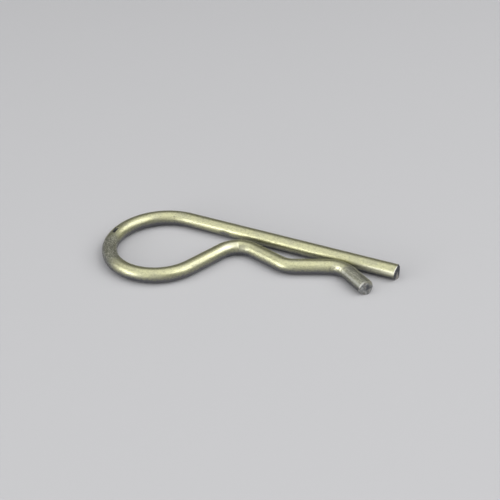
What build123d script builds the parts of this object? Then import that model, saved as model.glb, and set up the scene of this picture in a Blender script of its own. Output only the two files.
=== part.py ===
from build123d import *
from math import cos, radians, sin
import os

os.makedirs("parts", exist_ok=True)

# Cotter pin: one round spring wire, bent flat, lying on its side
# Millimetres, +X along the straight leg to its free end, sprung leg on the -Y side, +Z up

# Wire
wire_diameter = 4.0

# Straight leg, from where the eye begins to the cut end
leg_length = 60.0

# Eye: the first quarter turn off the leg is wider than the rest of the way round
eye_radius = 14.6
eye_return_radius = 13.0
rise_angle = 67.0

# Neck: the first crest of the sprung leg, standing clear of the straight leg
neck_gap = 1.9
neck_bend_radius = 6.5
fall_angle = 16.5

# Seat: the hollow of the sprung leg, which springs over the outside of a shaft
seat_gap = 4.9
seat_bend_radius = 5.8
climb_angle = 23.0

# Nose: the second crest, which all but touches the straight leg and holds the shaft in
nose_gap = 0.56
nose_bend_radius = 7.0

# Tip: the flared lead past the nose
flare_angle = 33.4
tip_length = 7.2

# Cut ends, as the shear left them: an upright ridge, and a face leaning back to each side of it
# Each setback is measured one wire's thickness out from the wire's axis
leg_ridge_offset = 0.4
leg_near_setback = 1.1
leg_far_setback = 0.5
tip_ridge_offset = 0.5
tip_near_setback = 0.9
tip_far_setback = 0.9
cut_room = 3.0

# Nick in the top of the eye, where it is furthest from the leg's cut end
nick_turn_angle = 2.0
nick_lean_angle = 1.0
nick_depth = 0.3
nick_width = 0.75
nick_round_radius = 3.2

# Heights of the centreline below the straight leg's own
wire_radius = wire_diameter / 2
eye_low = eye_radius + eye_return_radius
neck_low = wire_diameter + neck_gap
seat_low = wire_diameter + seat_gap
nose_low = wire_diameter + nose_gap

# Slopes of the three straight runs and of the tip
rise = radians(rise_angle)
fall = radians(fall_angle)
climb = radians(climb_angle)
flare = radians(flare_angle)

# Straight runs: what is left of each rise or fall after its two bends
rise_bends = eye_return_radius + neck_bend_radius
fall_bends = neck_bend_radius + seat_bend_radius
climb_bends = seat_bend_radius + nose_bend_radius
rise_run = (eye_low - neck_low - rise_bends * (1 - cos(rise))) / sin(rise)
fall_run = (seat_low - neck_low - fall_bends * (1 - cos(fall))) / sin(fall)
climb_run = (seat_low - nose_low - climb_bends * (1 - cos(climb))) / sin(climb)

# Bend centres, before the outline is moved to the middle of its own box
return_x = eye_return_radius - eye_radius
neck_x = return_x + rise_bends * sin(rise) + rise_run * cos(rise)
seat_x = neck_x + fall_bends * sin(fall) + fall_run * cos(fall)
nose_x = seat_x + climb_bends * sin(climb) + climb_run * cos(climb)

# The origin is under the middle of the box that holds the wire
middle_x = (leg_length - eye_radius - wire_radius) / 2
middle_y = -eye_low / 2

# The drawing's own origin is where the eye leaves the straight leg
drawing = Plane(origin=(-middle_x, -middle_y, wire_radius))

with BuildPart() as hairpin_cotter:
    # Centreline, one flat chain from the leg's cut end round the eye to the tip's cut end
    with BuildLine(drawing) as centreline:
        leg = Line((leg_length, 0), (0, 0))
        eye_start = CenterArc((0, -eye_radius), eye_radius, 90, 90)
        eye_return = CenterArc((return_x, -eye_radius), eye_return_radius, 180, 90 + rise_angle)
        neck_centre = (neck_x, -neck_low - neck_bend_radius)
        neck = CenterArc(neck_centre, neck_bend_radius, 90 + rise_angle, -rise_angle - fall_angle)
        Line(eye_return @ 1, neck @ 0)
        seat_centre = (seat_x, seat_bend_radius - seat_low)
        seat = CenterArc(seat_centre, seat_bend_radius, 270 - fall_angle, fall_angle + climb_angle)
        Line(neck @ 1, seat @ 0)
        nose_centre = (nose_x, -nose_low - nose_bend_radius)
        nose = CenterArc(nose_centre, nose_bend_radius, 90 + climb_angle, -climb_angle - flare_angle)
        Line(seat @ 1, nose @ 0)
        tip = Line(nose @ 1, nose @ 1 + (nose % 1) * tip_length)

    # Round wire drawn along the centreline
    with BuildSketch(Plane(origin=leg @ 0, z_dir=leg % 0)):
        Circle(wire_radius)
    sweep(path=centreline.wires()[0])

    # Leg's cut end
    with BuildSketch(drawing):
        with BuildLine():
            Polyline(
                (leg_length, leg_ridge_offset),
                (leg_length - leg_far_setback, wire_diameter),
                (leg_length + cut_room, wire_diameter),
                (leg_length + cut_room, -wire_diameter),
                (leg_length - leg_near_setback, -wire_diameter),
                close=True,
            )
        make_face()
    extrude(amount=wire_diameter, both=True, mode=Mode.SUBTRACT)

    # Tip's cut end, drawn along and across the tip
    with BuildSketch(Plane(origin=tip @ 1, x_dir=tip % 1, z_dir=(0, 0, 1))):
        with BuildLine():
            Polyline(
                (0, tip_ridge_offset),
                (-tip_far_setback, wire_diameter),
                (cut_room, wire_diameter),
                (cut_room, -wire_diameter),
                (-tip_near_setback, -wire_diameter),
                close=True,
            )
        make_face()
    extrude(amount=wire_diameter, both=True, mode=Mode.SUBTRACT)

    # Nick, a short groove along the wire with a rounded floor
    nick_share = nick_turn_angle / (90 + rise_angle)
    nick_along = eye_return % nick_share
    nick_outside = nick_along.cross(Vector(0, 0, 1))
    nick_lean = radians(nick_lean_angle)
    nick_up = Vector(0, 0, 1) * cos(nick_lean) + nick_outside * sin(nick_lean)
    nick_centre = eye_return @ nick_share + nick_up * (wire_radius - nick_depth + nick_round_radius)
    with Locations(Plane(origin=nick_centre, x_dir=nick_up, z_dir=nick_along.cross(nick_up))):
        Cylinder(nick_round_radius, nick_width, mode=Mode.SUBTRACT)

hairpin_cotter.part.label = "hairpin_cotter"
export_step(hairpin_cotter.part, "parts/hairpin_cotter.step")
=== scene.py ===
# %% [markdown]
# # A hairpin cotter, bent from one wire
# A hairpin cotter locks a shaft: its straight leg goes through a cross hole, and the wavy leg springs
# over the outside. The whole part is one length of round wire, so this lesson makes it as the factory
# does: a round section is pushed along a straight line, turned round a former, pushed on, and sheared off.
# First the packed model is loaded, because it fixes the place and size of everything that follows.

# %% Load the packed model
from math import atan2, cos, degrees, hypot, pi, radians, sin

import bpy
from mathutils import Matrix, Vector, kdtree, noise


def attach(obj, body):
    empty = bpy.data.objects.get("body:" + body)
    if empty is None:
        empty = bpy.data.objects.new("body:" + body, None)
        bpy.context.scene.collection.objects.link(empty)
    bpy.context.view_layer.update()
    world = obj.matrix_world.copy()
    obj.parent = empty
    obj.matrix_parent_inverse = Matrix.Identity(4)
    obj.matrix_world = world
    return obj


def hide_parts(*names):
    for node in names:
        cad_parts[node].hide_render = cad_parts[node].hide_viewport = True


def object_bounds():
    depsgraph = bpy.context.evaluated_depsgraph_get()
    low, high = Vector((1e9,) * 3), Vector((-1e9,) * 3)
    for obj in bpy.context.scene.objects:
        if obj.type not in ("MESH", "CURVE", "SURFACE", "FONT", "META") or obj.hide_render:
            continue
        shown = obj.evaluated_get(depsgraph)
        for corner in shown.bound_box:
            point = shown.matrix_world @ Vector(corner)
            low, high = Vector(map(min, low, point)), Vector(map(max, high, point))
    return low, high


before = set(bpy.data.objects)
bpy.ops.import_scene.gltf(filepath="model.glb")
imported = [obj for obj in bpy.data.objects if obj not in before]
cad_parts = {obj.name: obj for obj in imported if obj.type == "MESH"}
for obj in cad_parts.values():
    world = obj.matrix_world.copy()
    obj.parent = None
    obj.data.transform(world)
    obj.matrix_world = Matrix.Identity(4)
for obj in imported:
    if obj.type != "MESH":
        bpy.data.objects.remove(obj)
cad_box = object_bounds()
print("solid's box in mm:", [[round(1000 * c, 2) for c in corner] for corner in cad_box])

# %% [markdown]
# ## The sizes of the bends
# A wire former is set by a few numbers: the wire, the radius of each bend, how far each crest stands from
# the straight leg, and the slope of each straight run between bends. The lengths of those runs are not
# free. They are what is left of each rise or fall once its two bends have taken their share.

# %% Sizes of the wire and its bends
mm = 0.001
wire_radius = 2.0 * mm
leg_length = 60.0 * mm
eye_radius = 14.6 * mm
eye_return_radius = 13.0 * mm
neck_gap, neck_radius = 1.9 * mm, 6.5 * mm
seat_gap, seat_radius = 4.9 * mm, 5.8 * mm
nose_gap, nose_radius = 0.56 * mm, 7.0 * mm
tip_length = 7.2 * mm
rise, fall, climb, flare = 67.0, 16.5, 23.0, 33.4


def straight_run(height, radii, slope):
    """Length of the straight between two opposite bends that together climb this height."""
    return (height - radii * (1 - cos(radians(slope)))) / sin(radians(slope))


rise_height = eye_radius + eye_return_radius - 2 * wire_radius - neck_gap
rise_run = straight_run(rise_height, eye_return_radius + neck_radius, rise)
fall_run = straight_run(seat_gap - neck_gap, neck_radius + seat_radius, fall)
climb_run = straight_run(seat_gap - nose_gap, seat_radius + nose_radius, climb)
print("straight runs in mm:", [round(length / mm, 2) for length in (rise_run, fall_run, climb_run)])

# %% [markdown]
# ## Pushing and turning the section
# A curve with a round bevel would give the same tube faster. Here the section is extruded and spun instead,
# because every ring then stands exactly where a bend begins or ends, as in the solid, and the ends stay open
# for the cuts. Two helpers do all of it: one extrudes the last ring straight on, the other spins it about a
# former. Both keep a list of where the wire's axis has been, which later tells each point how far along the
# wire it lies.

# %% Add the round section at the leg's cut end
round_count = 96
axis_step = 0.04 * mm
place = Vector((cad_box[1][0], cad_box[1][1] - wire_radius, wire_radius))
heading = pi
gone = 0.0
route = []

bpy.ops.object.select_all(action="DESELECT")
bpy.ops.mesh.primitive_circle_add(
    vertices=round_count, radius=wire_radius, location=place, rotation=(0, pi / 2, 0)
)
wire = bpy.context.object
wire.name = wire.data.name = "hairpin_wire"
bpy.ops.object.transform_apply(location=True, rotation=True, scale=True)
bpy.ops.object.mode_set(mode="EDIT")
bpy.ops.mesh.select_all(action="SELECT")
print("section starts in mm at", [round(c / mm, 2) for c in place])


# %% Helpers that push and turn the section
def note(distance, point, angle):
    """Keep one point of the wire's axis: distance along, place and heading."""
    route.append((distance, point.copy(), angle))


def push(length, steps):
    """Extrude the last ring straight on."""
    global place, gone
    forward = Vector((cos(heading), sin(heading), 0))
    for _ in range(steps):
        bpy.ops.mesh.extrude_region_move(TRANSFORM_OT_translate={"value": forward * (length / steps)})
    samples = max(2, int(length / axis_step))
    for i in range(samples):
        note(gone + length * i / samples, place + forward * (length * i / samples), heading)
    place, gone = place + forward * length, gone + length


def turn(radius, angle, steps):
    """Spin the last ring round a former: left for a positive angle, right for a negative one."""
    global place, heading, gone
    side = 1 if angle > 0 else -1
    former = place + Vector((-sin(heading), cos(heading), 0)) * (side * radius)
    bpy.ops.mesh.spin(steps=steps, angle=-radians(angle), center=former, axis=(0, 0, 1))
    arm = place - former
    length = radius * abs(radians(angle))
    samples = max(2, int(length / axis_step))
    for i in range(samples):
        part = radians(angle) * i / samples
        note(gone + length * i / samples, former + Matrix.Rotation(part, 3, "Z") @ arm, heading + part)
    end = former + Matrix.Rotation(radians(angle), 3, "Z") @ arm
    place, heading, gone = end, heading + radians(angle), gone + length


print("points round the wire:", round_count)

# %% [markdown]
# ### One pass from the leg's end to the tip
# The last number of each step is how many rings it gets. Stretches that carry a mark get more: the two cut
# ends, the flattened spot on the leg, the nick in the eye, the neck and the nose.

# %% Bend the wire from the leg's end to the tip
cut_stretch = 3.0 * mm
push(cut_stretch, 26)
push(42.0 * mm, 60)
push(7.0 * mm, 40)
push(leg_length - gone, 12)
turn(eye_radius, 80, 46)
turn(eye_radius, 10, 22)
turn(eye_return_radius, 16, 32)
turn(eye_return_radius, 74 + rise, 76)
push(rise_run, 18)
turn(neck_radius, -rise - fall, 84)
push(fall_run, 18)
turn(seat_radius, fall + climb, 24)
push(climb_run, 26)
turn(nose_radius, -climb - flare, 60)
push(tip_length - cut_stretch, 26)
push(cut_stretch, 26)
note(gone, place, heading)
print("wire length in mm:", round(gone / mm, 2), "tip at", [round(c / mm, 2) for c in place])

# %% [markdown]
# ## Where each point lies on the unbent wire
# Scratches, tool marks and drawing lines follow the wire, not the room. So each point keeps its place on the
# wire as it was before bending: the distance along, and the two offsets across. A search tree over the axis
# finds the nearest point of the run, and the rest is a change of axes.

# %% A helper that unbends a point
axis_points = kdtree.KDTree(len(route))
for index, (_, point, _) in enumerate(route):
    axis_points.insert(point, index)
axis_points.balance()


def unbend(point):
    """Distance along the wire, offset to the left of its run, offset upwards, and the run's heading."""
    _, index, _ = axis_points.find(Vector((point.x, point.y, wire_radius)))
    distance, origin, angle = route[index]
    offset = point - origin
    along = distance + offset.x * cos(angle) + offset.y * sin(angle)
    left = offset.y * cos(angle) - offset.x * sin(angle)
    return along, left, offset.z, angle


print("points kept of the axis:", len(route))

# %% [markdown]
# ## Closing the two sheared ends
# Wire is cropped by a shear, which leaves a rough, leaning face and not a clean disc. Each open ring is filled,
# then inset several times, so that the face has enough points to lean and to be torn. The rim itself gets a
# small bevel: no real edge is perfectly sharp, and the bevel is what catches the light.

# %% Fill and inset both ends
ring_widths = (0.15, 0.15, 0.18, 0.22, 0.26, 0.28, 0.28, 0.28)
bpy.ops.mesh.select_all(action="DESELECT")
bpy.ops.mesh.select_non_manifold(
    extend=False,
    use_wire=False,
    use_boundary=True,
    use_multi_face=False,
    use_non_contiguous=False,
    use_verts=False,
)
bpy.ops.mesh.edge_face_add()
for ring_width in ring_widths:
    bpy.ops.mesh.inset(thickness=ring_width * mm, use_boundary=True, use_even_offset=True)
bpy.ops.mesh.poke()
bpy.ops.mesh.select_all(action="SELECT")
bpy.ops.mesh.normals_make_consistent(inside=False)
bpy.ops.object.mode_set(mode="OBJECT")
print("points:", len(wire.data.vertices), "faces:", len(wire.data.polygons))

# %% Bevel the two rims
rim_bevel = 0.09 * mm
end_margin = 0.01 * mm
bpy.ops.object.mode_set(mode="EDIT")
bpy.ops.mesh.select_all(action="DESELECT")
bpy.ops.mesh.select_mode(type="EDGE")
bpy.ops.object.mode_set(mode="OBJECT")


def on_rim(vertex):
    """True for a point on the outer edge of either end."""
    distance, left, up, _ = unbend(vertex.co)
    at_end = distance < end_margin or distance > gone - end_margin
    return at_end and hypot(left, up) > 0.99 * wire_radius


rim = {vertex.index for vertex in wire.data.vertices if on_rim(vertex)}
for edge in wire.data.edges:
    edge.select = edge.vertices[0] in rim and edge.vertices[1] in rim
bpy.ops.object.mode_set(mode="EDIT")
bpy.ops.mesh.bevel(offset=rim_bevel, offset_type="OFFSET", segments=3, profile=0.5, affect="EDGES")
bpy.ops.mesh.select_mode(type="VERT")
bpy.ops.object.mode_set(mode="OBJECT")
unbent = [unbend(vertex.co) for vertex in wire.data.vertices]
print("rim points:", len(rim), "points now:", len(wire.data.vertices))

# %% [markdown]
# ## Shear marks, the nick and the pressed bends
# These are small moves of points that already exist, each along the wire or across it. Every mark is given by
# where it lies on the unbent wire: how far along, and at what angle round the section, counted from the left of
# the run over the top. A few helpers give the shape of a mark at a point.

# %% Helpers for marks
def smooth(low, high, value):
    """0 below low, 1 above high, and an S-shaped rise between."""
    t = min(1.0, max(0.0, (value - low) / (high - low)))
    return t * t * (3 - 2 * t)


def window(value, start, full, fade, end):
    """0 outside start and end, 1 between full and fade."""
    return smooth(start, full, value) * (1 - smooth(fade, end, value))


def rough(distance, left, up, size, seed):
    """Noise from -1 to 1 with lumps of the given size, in the wire's own axes."""
    return noise.noise(Vector((distance, left, up)) / size + Vector((seed, 2.3 * seed, 0)))


print("a rise from 0 to 1 at its quarters:", [round(smooth(0, 4, quarter), 2) for quarter in range(5)])

# %% [markdown]
# ### The cut faces
# A shear blade first pushes the wire in, which rolls one edge over, then tears it off, which leaves a burr on the
# other edge. The face leans back to each side of an upright ridge, as in the solid. The burr is a thin lip that
# stands up from the rim, uneven along its length.

# %% How far a cut face is set back
torn_depth = 0.05 * mm


def leaning_cut(across, ridge, near, far):
    """Setback of a sheared face: it leans back to each side of an upright ridge."""
    return near * (ridge - across) if across < ridge else far * (across - ridge)


def cut_depth(left, up, lean, burr, burr_span, rolls, seed):
    """How far a point of a cut end is set back, by its place on the section."""
    reach = hypot(left, up) / wire_radius
    turn_angle = degrees(atan2(up, left)) % 360
    lip = window(turn_angle, *burr_span) * (0.75 + 0.5 * rough(left, up, 0, 0.5 * mm, seed))
    torn = rough(left, up, 0, 0.6 * mm, seed + 3) + 0.6 * rough(left, up, 0, 0.25 * mm, seed + 7)
    inside = 1 - smooth(0.80, 0.93, reach)
    rolled = 0.0
    for depth, middle, half_span in rolls:
        off = abs((turn_angle - middle + 180) % 360 - 180) / half_span
        rolled += depth * (1 - smooth(0.4, 1.0, off)) * smooth(0.65, 1.0, reach) ** 2
    face_depth = inside * (burr * lip * 0.6 + torn_depth * torn)
    return lean + face_depth - (1 - inside) * burr * lip * 0.4 + rolled


print("torn grain is up to", torn_depth / mm, "mm deep")

# %% Shape the cut ends
# Ridge, and how steeply the face leans back on its near and far side
leg_lean = (0.4 * mm, 0.25, 0.139)
tip_lean = (0.5 * mm, 0.2, 0.257)
# Burr height and where round the rim it lies, in degrees
leg_lip = (0.16 * mm, (-1, 15, 60, 84))
tip_lip = (0.2 * mm, (84, 120, 176, 192))
# Rolled edges: depth, middle and half span in degrees
leg_rolls = ((0.34 * mm, 150, 85),)
tip_rolls = ((0.3 * mm, 40, 50), (0.6 * mm, 210, 46))
leg_seed, tip_seed = 1.0, 5.0

moved = 0
for vertex, (distance, left, up, angle) in zip(wire.data.vertices, unbent):
    forward = Vector((cos(angle), sin(angle), 0))
    if distance < cut_stretch:
        depth = cut_depth(left, up, leaning_cut(-left, *leg_lean), *leg_lip, leg_rolls, leg_seed)
        vertex.co += forward * depth * (1 - smooth(0, cut_stretch, distance))
        moved += 1
    if distance > gone - cut_stretch:
        depth = cut_depth(left, up, leaning_cut(left, *tip_lean), *tip_lip, tip_rolls, tip_seed)
        vertex.co -= forward * depth * (1 - smooth(0, cut_stretch, gone - distance))
        moved += 1
print("points moved at the cuts:", moved)

# %% [markdown]
# ### The nick, the dents and the step
# The nick is a short groove with one steep wall and a low lip beside it. The bending tools left a step at the
# neck, and a pressed hollow inside the nose with small flats in it. Something hard has flattened a spot on the
# straight leg. A boolean cut would give the nick too, but moved points keep the rings in order.

# %% Shapes of the pressed marks
nick_along, nick_turn = 83.3 * mm, 90.0
nick_depth, nick_half_length = 0.26 * mm, 1.42 * mm
nick_walls = [across * mm for across in (-0.44, -0.32, 0.16, 0.46)]
lip_height = 0.03 * mm
lip_walls = [across * mm for across in (-0.66, -0.54, -0.48, -0.4)]
step_depth, step_slant = 0.09 * mm, 0.006 * mm
# Each dent: place along, angle round, half length, half width, depth, all in mm but the angle
dents = (
    (48.4, 1.0, 1.9, 0.75, 0.10),
    (162.9, 172.0, 2.6, 1.9, 0.26),
    (162.4, 154.0, 0.5, 0.4, 0.06),
    (163.7, 138.0, 0.6, 0.45, 0.05),
    (164.8, 148.0, 0.5, 0.4, 0.06),
    (161.2, 152.0, 0.35, 0.3, 0.04),
)


def nick_at(distance, left, up, turn_angle):
    """Depth of the nick, less the height of its lip."""
    off = distance - nick_along
    across = radians(turn_angle - nick_turn) * wire_radius
    if abs(off) >= 1.5 * mm or abs(across) >= 0.8 * mm:
        return 0.0
    ragged = 0.04 * mm * rough(distance, left, up, 0.3 * mm, 2.0)
    floor_depth = nick_depth * max(0.0, 1 - (off / nick_half_length) ** 2)
    lip = lip_height * window(across + ragged, *lip_walls) * (1 - smooth(0.9 * mm, 1.5 * mm, abs(off)))
    return floor_depth * window(across + ragged, *nick_walls) - lip


def dents_at(distance, turn_angle):
    """Depth of all the dents together."""
    depth = 0.0
    for along, round_angle, half_length, half_width, dent_depth in dents:
        turned = (turn_angle - round_angle + 180) % 360 - 180
        u = (distance - along * mm) / (half_length * mm)
        v = radians(turned) * wire_radius / (half_width * mm)
        depth += dent_depth * mm * max(0.0, 1 - u * u - v * v) ** 1.5
    return depth


def step_at(distance, turn_angle):
    """Depth of the step at the neck: sharp on one side, fading out on the other."""
    slanted = distance - step_slant * (turn_angle - 128)
    step = smooth(134.0 * mm, 134.25 * mm, slanted) * (1 - smooth(134.5 * mm, 136.6 * mm, distance))
    return step_depth * step * window(turn_angle, 96, 116, 158, 182)


print("dents:", len(dents), "deepest in mm:", max(dent[4] for dent in dents))

# %% Press the marks into the surface
pressed = 0
for vertex, (distance, left, up, angle) in zip(wire.data.vertices, unbent):
    if hypot(left, up) < 0.97 * wire_radius:
        continue
    turn_angle = degrees(atan2(up, left)) % 360
    depth = nick_at(distance, left, up, turn_angle) + dents_at(distance, turn_angle)
    depth += step_at(distance, turn_angle)
    if depth:
        outward = Vector((-sin(angle) * left, cos(angle) * left, up)) / hypot(left, up)
        vertex.co -= outward * depth
        pressed += 1
print("points pressed:", pressed)

# %% [markdown]
# ### Places for the finish
# The finish needs the same places as the marks. A texture map could hold them, but it would have a seam along
# the wire. An attribute of three numbers per point has none: along, left and up, in millimetres.

# %% Store the unbent places
places = wire.data.attributes.new("unbent", "FLOAT_VECTOR", "POINT")
for item, (distance, left, up, _) in zip(places.data, unbent):
    item.vector = (distance / mm, left / mm, up / mm)
print("places stored:", len(places.data))

# %% [markdown]
# ## Node sums in plain Python
# A finish is built from many small sums of masks. Wiring each one by hand hides the idea, so a small class
# wraps a socket: adding or multiplying two of them adds the Math node that does it. Any other node comes from
# one method, which sets the node's settings first and then its inputs.

# %% A socket that can be used in sums
class Field:
    def __init__(self, tree, socket=None):
        self.tree, self.socket = tree, socket

    def node(self, kind, settings=None, inputs=None, out=0):
        made = self.tree.nodes.new("ShaderNode" + kind)
        for name, value in (settings or {}).items():
            setattr(made, name, value)
        for name, value in (inputs or {}).items():
            if isinstance(value, Field):
                self.tree.links.new(value.socket, made.inputs[name])
            else:
                made.inputs[name].default_value = value
        return Field(self.tree, made.outputs[out])

    def math(self, operation, first, second=0.0):
        return self.node("Math", {"operation": operation}, {0: first, 1: second})

    def __add__(self, other): return self.math("ADD", self, other)
    def __radd__(self, other): return self.math("ADD", other, self)
    def __sub__(self, other): return self.math("SUBTRACT", self, other)
    def __rsub__(self, other): return self.math("SUBTRACT", other, self)
    def __mul__(self, other): return self.math("MULTIPLY", self, other)
    def __rmul__(self, other): return self.math("MULTIPLY", other, self)

    def rise(self, low, high):
        """0 below low, 1 above high."""
        limits = {"Value": self, "From Min": low, "From Max": high}
        return self.node("MapRange", {"interpolation_type": "SMOOTHSTEP"}, limits)

    def between(self, start, full, fade, end):
        """0 outside start and end, 1 between full and fade."""
        return self.rise(start, full) * (1 - self.rise(fade, end))

    def tint(self, first, second, blend="MIX"):
        """From the first colour at 0 to the second at 1."""
        settings = {"data_type": "RGBA", "blend_type": blend}
        return self.node("Mix", settings, {0: self, 6: first, 7: second}, out=2)

    def grain(self, place, stretch, detail=3.0, harsh=0.6):
        """Noise from 0 to 1 on a place that is first stretched."""
        spread = self.node("VectorMath", {"operation": "MULTIPLY"}, {0: place, 1: stretch})
        inputs = {"Vector": spread, "Scale": 1.0, "Detail": detail, "Roughness": harsh}
        return self.node("TexNoise", {"noise_dimensions": "3D"}, inputs)


print("a field can:", [name for name in vars(Field) if not name.startswith("__")])


# %% Helpers for finishes
def new_finish(name):
    """An empty material with its shader, ready for fields."""
    finish = bpy.data.materials.new(name)
    finish.use_nodes = True
    shader = finish.node_tree.nodes["Principled BSDF"]
    return finish, Field(finish.node_tree), shader


def wire_places(field):
    """The stored place on the unbent wire, whole and as its three parts: along, left and up."""
    place = field.node("Attribute", {"attribute_name": "unbent"}, out=1)
    parts = field.node("SeparateXYZ", None, {0: place}).socket.node.outputs
    return place, *(Field(field.tree, part) for part in parts)


def feed(shader, name, field):
    """Link a field to one of the shader's inputs."""
    field.tree.links.new(field.socket, shader.inputs[name])


print("materials before the first finish:", len(bpy.data.materials))

# %% [markdown]
# ## Satin plated wire
# Spring wire of this kind is drawn, then plated. It is a satin metal with a faint yellow cast, fine lines along
# the wire left by the die, a cloudy bloom where the plating has dulled, and dark specks where it is pitted. The
# finish is built in layers, from the plating up to the painted shade, and each layer has a mask that says where it
# lies.
# Masks are given in millimetres along the wire and in degrees round it. A painted texture would do the same,
# but masks stay sharp at any distance and move with the sizes above.

# %% Places and grains on the wire
satin, field, shader = new_finish("satin_wire")
wire_place, along, left, top = wire_places(field)
turned = field.math("ARCTAN2", top, left) * (180 / pi)

drawn = field.grain(wire_place, (0.12, 3.2, 3.2), 4.0)
cloud = field.grain(wire_place, (0.3, 0.4, 0.4), 5.0)
speck = field.grain(wire_place, (1.8, 2.4, 2.4), 3.0, 0.7)
blotch = field.grain(wire_place, (1.5, 2.1, 2.1), 4.0, 0.7)
flecks = field.grain(wire_place, (2.2, 3.0, 3.0), 2.0)
print("nodes for places and grains:", len(satin.node_tree.nodes))

# %% Plating, drawing lines, bloom and pits
fresh_plating = (0.515, 0.51, 0.304, 1)
dull_plating = (0.397, 0.395, 0.276, 1)
stain = (0.16, 0.16, 0.13, 1)

dull = cloud.rise(0.42, 0.72) * 0.65
pits = speck.rise(0.55, 0.72)
die_lines, blots, spots = drawn.rise(0.52, 0.75), blotch.rise(0.48, 0.68), flecks.rise(0.5, 0.64)
plating = dull.tint(fresh_plating, dull_plating)
plating = (0.48 * pits + 0.22 * die_lines + 0.3 * blots + 0.2 * spots).tint(plating, stain)
print("nodes with the plating:", len(satin.node_tree.nodes))

# %% [markdown]
# ### Where the plating is worn grey
# The far end of the eye has been handled until the yellow is gone, and what is left is a scaly grey with light
# flecks and dark pits. The tip, which is pushed over the shaft each time, is grey too, and streaked along its
# length; its darker top is painted shade and one light line on its near side is a painted highlight. Both stretches
# end raggedly.

# %% Grey wear on the eye
eye_dark, eye_light = (0.125, 0.126, 0.11, 1), (0.27, 0.272, 0.232, 1)
eye_fleck, eye_pit = (0.5, 0.5, 0.43, 1), (0.09, 0.09, 0.078, 1)

ragged = along + 5.0 * (cloud - 0.5) + 2.0 * (blotch - 0.5)
light_flecks = flecks.rise(0.5, 0.62)
eye_wear = ragged.between(82.5, 88.0, 95.0, 100.5)
scales = field.grain(wire_place, (1.0, 1.8, 1.8), 4.0, 0.65).rise(0.34, 0.66)
eye_grey = scales.tint(eye_dark, eye_light)
eye_grey = (0.9 * light_flecks).tint(eye_grey, eye_fleck)
eye_grey = (0.65 * pits).tint(eye_grey, eye_pit)
worn = (0.85 * eye_wear).tint(plating, eye_grey)
print("nodes with the worn eye:", len(satin.node_tree.nodes))

# %% Grey wear on the tip, with a painted highlight and painted shade
tip_dark, tip_light = (0.24, 0.242, 0.205, 1), (0.37, 0.372, 0.31, 1)
tip_fleck, tip_pit = (0.55, 0.555, 0.47, 1), (0.1, 0.1, 0.088, 1)
tip_highlight_colour, tip_top_shade_colour = (0.6, 0.605, 0.54, 1), (0.1, 0.1, 0.09, 1)

tip_wear = ragged.rise(163.2, 167.2)
lines = field.grain(wire_place, (0.3, 2.2, 2.2), 3.0)
tip_grey = lines.rise(0.35, 0.65).tint(tip_dark, tip_light)
tip_grey = (0.6 * light_flecks).tint(tip_grey, tip_fleck)
tip_grey = (0.6 * pits + 0.4 * blotch.rise(0.46, 0.62)).tint(tip_grey, tip_pit)
worn = (0.85 * tip_wear).tint(worn, tip_grey)

on_tip = along.rise(164.4, 166.2)
# Painted highlight along the tip's near side
wavy = turned + 16.0 * (blotch - 0.5)
tip_painted_highlight = on_tip * wavy.between(136, 149, 155, 166) * (1 - 0.6 * pits)
worn = (0.7 * tip_painted_highlight).tint(worn, tip_highlight_colour)
# Painted shade on the tip's top
tip_top_painted_shade = on_tip * turned.between(40, 70, 102, 124) * (0.2 + 0.8 * lines.rise(0.45, 0.57))
worn = (0.62 * tip_top_painted_shade).tint(worn, tip_top_shade_colour)
print("nodes with the worn tip:", len(satin.node_tree.nodes))

# %% [markdown]
# ### Bright marks, painted highlights and painted shade
# What rubs on the shaft or the hole is bright: the flats inside the nose, and above all the two burrs, where the
# steel is bare. The slope before the neck and the near side of the leg's end get painted highlights, and just
# past the neck's step a short darker patch is painted shade.

# %% Bare and rubbed metal, painted highlights and painted shade
bare_steel = (0.8, 0.79, 0.73, 1)
nose_bright, neck_highlight_colour, leg_highlight_colour = (0.7, 0.69, 0.53, 1), (0.72, 0.71, 0.55, 1), (0.84, 0.83, 0.66, 1)
neck_shade_colour = (0.27, 0.268, 0.2, 1)
tip_end = gone / mm

leg_burr = (1 - along.rise(0.15, 0.4)) * turned.between(-10, 25, 75, 95)
tip_burr = along.rise(tip_end - 0.75, tip_end - 0.5) * turned.between(84, 150, 166, 176)
bare = field.math("MAXIMUM", leg_burr, tip_burr)
nose_flats = along.between(160.4, 163.2, 164.9, 165.5) * turned.between(120, 132, 156, 166)
nose_rub = nose_flats * speck.rise(0.4, 0.54)
# Painted highlight on the slope before the neck
neck_painted_highlight = along.between(126.0, 129.5, 134.0, 134.3) * turned.between(98, 112, 140, 154)
# Painted shade just past the neck's step, where the bend's highlight breaks off
past_step = (along - 0.012 * (turned - 128)).between(134.05, 134.3, 136.0, 137.0)
neck_painted_shade = past_step * turned.between(116, 132, 166, 178)
# Painted highlight on the near side of the leg's end
leg_end_painted_highlight = (1 - along.rise(7.0, 15.0)) * turned.between(-12, 8, 22, 34) * (1 - 0.5 * pits)

colour = (0.9 * bare).tint(worn, bare_steel)
colour = (0.7 * nose_rub).tint(colour, nose_bright)
colour = (0.5 * neck_painted_highlight).tint(colour, neck_highlight_colour)
colour = (0.6 * neck_painted_shade).tint(colour, neck_shade_colour)
colour = (0.75 * leg_end_painted_highlight).tint(colour, leg_highlight_colour)
print("nodes with the bright marks:", len(satin.node_tree.nodes))

# %% [markdown]
# ### Painted shade and dark marks
# The underside is painted shade: a darker, bluish tint that takes the yellow out of the plating, and less of it
# reaches up the straight leg. The outside of the worn eye gets more painted shade, the flattened spot on the leg a
# painted dark reflection, and the nick is coloured near black.

# %% Painted shade, the dark nick and the finished colour
outer_shade_tint = (0.66, 0.67, 0.74, 1)
painted_reflection_grey, nick_black = (0.19, 0.19, 0.205, 1), (0.02, 0.021, 0.03, 1)
plating_shade_tint, grey_shade_tint = (0.28, 0.285, 0.5, 1), (0.3, 0.302, 0.36, 1)

# Painted shade on the outside of the worn eye
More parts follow.
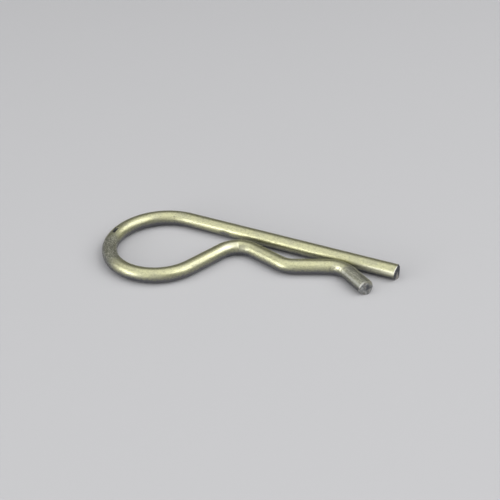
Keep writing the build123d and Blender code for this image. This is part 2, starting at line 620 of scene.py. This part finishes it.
eye_outer_shade = eye_wear * (1 - (left + 0.6 * (blotch - 0.5)).rise(-1.95, -1.1))
colour = (0.8 * eye_outer_shade).tint(colour, outer_shade_tint, "MULTIPLY")
# Painted dark reflection in the flattened spot on the leg
spot_along = (along - 48.4) * 0.55
spot_turned = (turned + 4.0) * 0.07 + 1.2 * (blotch - 0.5)
flat_spot_painted_reflection = 1 - (spot_along * spot_along + spot_turned * spot_turned).rise(0.4, 1.1)
colour = (0.75 * flat_spot_painted_reflection).tint(colour, painted_reflection_grey)
# Painted shade on the underside: darker and bluer towards the bottom, less of it on the straight leg
leg_less_shade = 0.65 * (1 - along.rise(52, 66))
shade_height = top + leg_less_shade + 2.0 * (speck - 0.5) + 1.6 * (blotch - 0.5)
painted_underside_shade = 1 - shade_height.rise(-0.6, 1.15)
underside_shade_tint = (0.85 * field.math("MAXIMUM", eye_wear, tip_wear)).tint(plating_shade_tint, grey_shade_tint)
colour = painted_underside_shade.tint(colour, underside_shade_tint, "MULTIPLY")
# The nick is coloured near black, most in its middle, with ragged edges
nick_edge = turned - 3.0 * (84.0 - along) + 22.0 * (speck - 0.5)
nick_reach = along + 1.2 * (speck - 0.5)
nick = nick_reach.between(81.2, 82.7, 84.2, 84.75) * nick_edge.between(74, 83, 99, 110)
colour = (0.95 * nick).tint(colour, nick_black)
feed(shader, "Base Color", colour)
print("nodes with the dirt:", len(satin.node_tree.nodes))

# %% [markdown]
# ### Sheen and fine relief
# The plating has a weak second sheen, which a thin coat on the shader gives. Wear, the nick and the patch past
# the neck's step are rougher than the plating, and rubbed metal is smoother. The leg's end under its painted
# highlight is rougher too. The drawing lines and pits are too fine for the mesh and become a bump.

# %% Roughness, coat and bump
shader.inputs["Metallic"].default_value = 1.0
shader.inputs["Coat Weight"].default_value = 0.5
shader.inputs["Coat Roughness"].default_value = 0.25
roughness = 0.35 + 0.08 * drawn + 0.12 * dull + 0.08 * pits + 0.16 * eye_wear + 0.16 * tip_wear
roughness = roughness + 0.3 * nick + 0.12 * neck_painted_shade + 0.1 * leg_end_painted_highlight - 0.1 * bare - 0.06 * nose_rub
feed(shader, "Roughness", roughness)
height = 0.35 * drawn + 0.5 * speck + 0.5 * blotch * (eye_wear + tip_wear)
bump = field.node("Bump", None, {"Strength": 0.55, "Distance": 0.00006, "Height": height})
feed(shader, "Normal", bump)
print("satin nodes:", len(satin.node_tree.nodes))

# %% [markdown]
# ## Torn steel at the cuts
# A sheared face is part smooth, where the blade went in, and part torn grain. It is greyer than the plating,
# because the plating stops at the rim. Its dark parts are painted shade: the near side of the leg's face, where a
# pale wedge of painted light stands, wide at the bottom, and a blot above the middle of the tip's face. The edge
# that the blade rolled over keeps a little of the plating's colour.

# %% Where each cut face gets painted shade and painted light
sheared, field, shader = new_finish("sheared_steel")
cut_place, along, left, top = wire_places(field)
tear = field.grain(cut_place, (1.0, 1.8, 1.8), 6.0, 0.7)
lump = field.grain(cut_place, (1.0, 1.1, 1.1), 3.0, 0.6)
at_tip = along.rise(80.0, 90.0)
at_leg = 1 - at_tip

# Painted shade on the cut faces, with a pale wedge of painted light on the leg's face
aside, above = left - 0.25, top - 0.25
blot_reach = field.math("SQRT", aside * aside + above * above) + 1.6 * (lump - 0.5)
tip_face_painted_shade = 1 - blot_reach.rise(0.2, 1.35)
tip_roll = (0.6 * left + 0.8 * top + 1.2 * (lump - 0.5)).rise(0.8, 1.6)
wedge_reach = field.math("ABSOLUTE", left - 0.4) + 0.45 * top + 1.1 * (lump - 0.5) + 0.6 * (tear - 0.5)
wedge = 1 - wedge_reach.rise(-0.25, 0.4)
leg_face_painted_shade = (1 - wedge) * (left + 0.8 * (lump - 0.5)).rise(-1.8, -0.9)
tip_share = tip_face_painted_shade * (1 - tip_roll) * (0.62 + 0.35 * tear)
dark = at_tip * tip_share + at_leg * leg_face_painted_shade * (0.7 + 0.3 * tear)
print("nodes for the cut faces' masks:", len(sheared.node_tree.nodes))

# %% Sheared steel finish
steel_dark, steel_light = (0.17, 0.175, 0.175, 1), (0.48, 0.485, 0.47, 1)
rust, rolled_plating = (0.34, 0.28, 0.21, 1), (0.29, 0.28, 0.21, 1)
# Colours of the painted light and painted shade on the cut faces
wedge_painted_light, cut_painted_shade_black = (0.42, 0.38, 0.34, 1), (0.045, 0.047, 0.06, 1)

face = tear.rise(0.35, 0.7).tint(steel_dark, steel_light)
face = (0.4 * lump.rise(0.5, 0.68)).tint(face, rust)
face = (0.8 * at_tip * tip_roll).tint(face, rolled_plating)
face = (0.5 * at_leg * wedge).tint(face, wedge_painted_light)
face = dark.tint(face, cut_painted_shade_black)
feed(shader, "Base Color", face)
shader.inputs["Metallic"].default_value = 0.8
feed(shader, "Roughness", 0.4 + 0.3 * tear)
bump = field.node("Bump", None, {"Strength": 0.6, "Distance": 0.0002, "Height": tear})
feed(shader, "Normal", bump)
print("sheared nodes:", len(sheared.node_tree.nodes))

# %% [markdown]
# ## Two finishes on one wire
# The plating covers everything but the cut faces, so a face of the mesh is torn steel when it lies inside the
# rim. Smooth shading stops at the rim too, because the angle there is sharp. The wire then takes the place of
# the packed solid.

# %% Put the finishes on
wire.data.materials.append(satin)
wire.data.materials.append(sheared)
torn_faces = 0
for face in wire.data.polygons:
    inside = [hypot(*unbent[index][1:3]) < 0.999 * wire_radius for index in face.vertices]
    if sum(inside) > 1:
        face.material_index = 1
        torn_faces += 1
bpy.ops.object.select_all(action="DESELECT")
wire.select_set(True)
bpy.context.view_layer.objects.active = wire
bpy.ops.object.shade_smooth_by_angle(angle=radians(35))
print("faces of torn steel:", torn_faces)

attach(wire, "root")
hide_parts("hairpin_cotter")

# %% [markdown]
# ## Floor, light and camera
# The pin lies on a plain pale floor, wide enough to fill a low view.

# %% Pale floor
floor_size = 10.0
bpy.ops.object.select_all(action="DESELECT")
bpy.ops.mesh.primitive_plane_add(size=floor_size, location=(0, 0, 0))
floor = bpy.context.object
floor.name = "pale_floor"
paper, _, shader = new_finish("pale_paper")
shader.inputs["Base Color"].default_value = (0.43, 0.43, 0.44, 1)
shader.inputs["Roughness"].default_value = 0.9
shader.inputs["Specular IOR Level"].default_value = 0.1
floor.data.materials.append(paper)
print("floor in m:", floor_size)

# %% [markdown]
# ### Soft light
# A round wire mirrors its lamps as lines along it, so each lamp stands where the camera sees its line in the
# right place. A broad one overhead lights the tops. A broad one in front, with a small low one, lights the near
# sides, and one to the left and one to the right draw the bright lines on the bends. A dim even sky fills the rest.

# %% Soft studio light
world = bpy.context.scene.world or bpy.data.worlds.new("room")
bpy.context.scene.world = world
world.use_nodes = True
sky = world.node_tree.nodes["Background"]
sky.inputs["Color"].default_value = (1, 1, 1, 1)
sky.inputs["Strength"].default_value = 0.14


def facing(right, upward, back):
    """Rotation whose own axes are these three."""
    return Matrix((right, upward, back)).transposed().to_4x4()


def soft_light(name, centre, aim, run, width, height, watts):
    """A rectangular lamp at centre that faces aim, with its width along run."""
    data = bpy.data.lights.new(name, "AREA")
    data.shape, data.size, data.size_y, data.energy = "RECTANGLE", width, height, watts
    lamp = bpy.data.objects.new(name, data)
    bpy.context.scene.collection.objects.link(lamp)
    back = (Vector(centre) - Vector(aim)).normalized()
    upward = back.cross(Vector(run)).normalized()
    lamp.matrix_world = Matrix.Translation(centre) @ facing(upward.cross(back), upward, back)


soft_light("top_lamp", (0, -0.16, 0.8), (0, -0.16, 0), (0.94, 0.34, 0), 1.4, 1.36, 7.2)
soft_light("front_lamp", (0, -1.0, 0.4), (0, 0, 0.1), (1, 0, 0), 1.6, 0.8, 3.4)
soft_light("low_lamp", (-0.38, -0.96, 0.22), (0, 0, 0), (0.93, -0.36, 0), 0.36, 0.2, 1.4)
soft_light("left_lamp", (-0.6, -0.66, 0.34), (0, 0, 0), (-0.36, 0.52, 0.4), 0.78, 0.34, 3.3)
soft_light("right_lamp", (0.66, 0.14, 0.64), (0, 0, 0), (-0.3, 0.94, 0.14), 1.16, 0.72, 7.1)
print("lamps:", [lamp.name for lamp in bpy.data.lights])

# %% [markdown]
# ### Camera
# The camera was fitted to the outline of the real pin, together with its bends: the way round it, the height,
# a slight roll, the distance and the focal length, which is given in pixels of a picture 500 wide.

# %% Camera at the photograph's angle
azimuth, elevation, roll = radians(26.059), radians(34.778), radians(-1.209)
target = Vector((-0.478, 7.467, 2.0)) * mm
camera_distance = 0.270
focal_pixels, picture_pixels, sensor_width = 1026.5, 500.0, 36.0

right = Vector((cos(azimuth), sin(azimuth), 0))
forward = Vector((-sin(azimuth) * cos(elevation), cos(azimuth) * cos(elevation), -sin(elevation)))
upward = right.cross(forward)
right, upward = cos(roll) * right + sin(roll) * upward, cos(roll) * upward - sin(roll) * right
camera_data = bpy.data.cameras.new("camera")
camera_data.sensor_width = sensor_width
camera_data.lens = focal_pixels * sensor_width / picture_pixels
camera_data.clip_start = 0.01
camera = bpy.data.objects.new("camera", camera_data)
bpy.context.scene.collection.objects.link(camera)
stand = target - forward * camera_distance
camera.matrix_world = Matrix.Translation(stand) @ facing(right, upward, -forward)
bpy.context.scene.camera = camera
bpy.context.scene.view_settings.view_transform = "Standard"
print("camera stands in m at", [round(c, 3) for c in stand])

# %% [markdown]
# ## The same box as the solid
# Marks and burrs must not change the size of the part. The box of the dressed wire should agree with the solid's
# to within a burr.
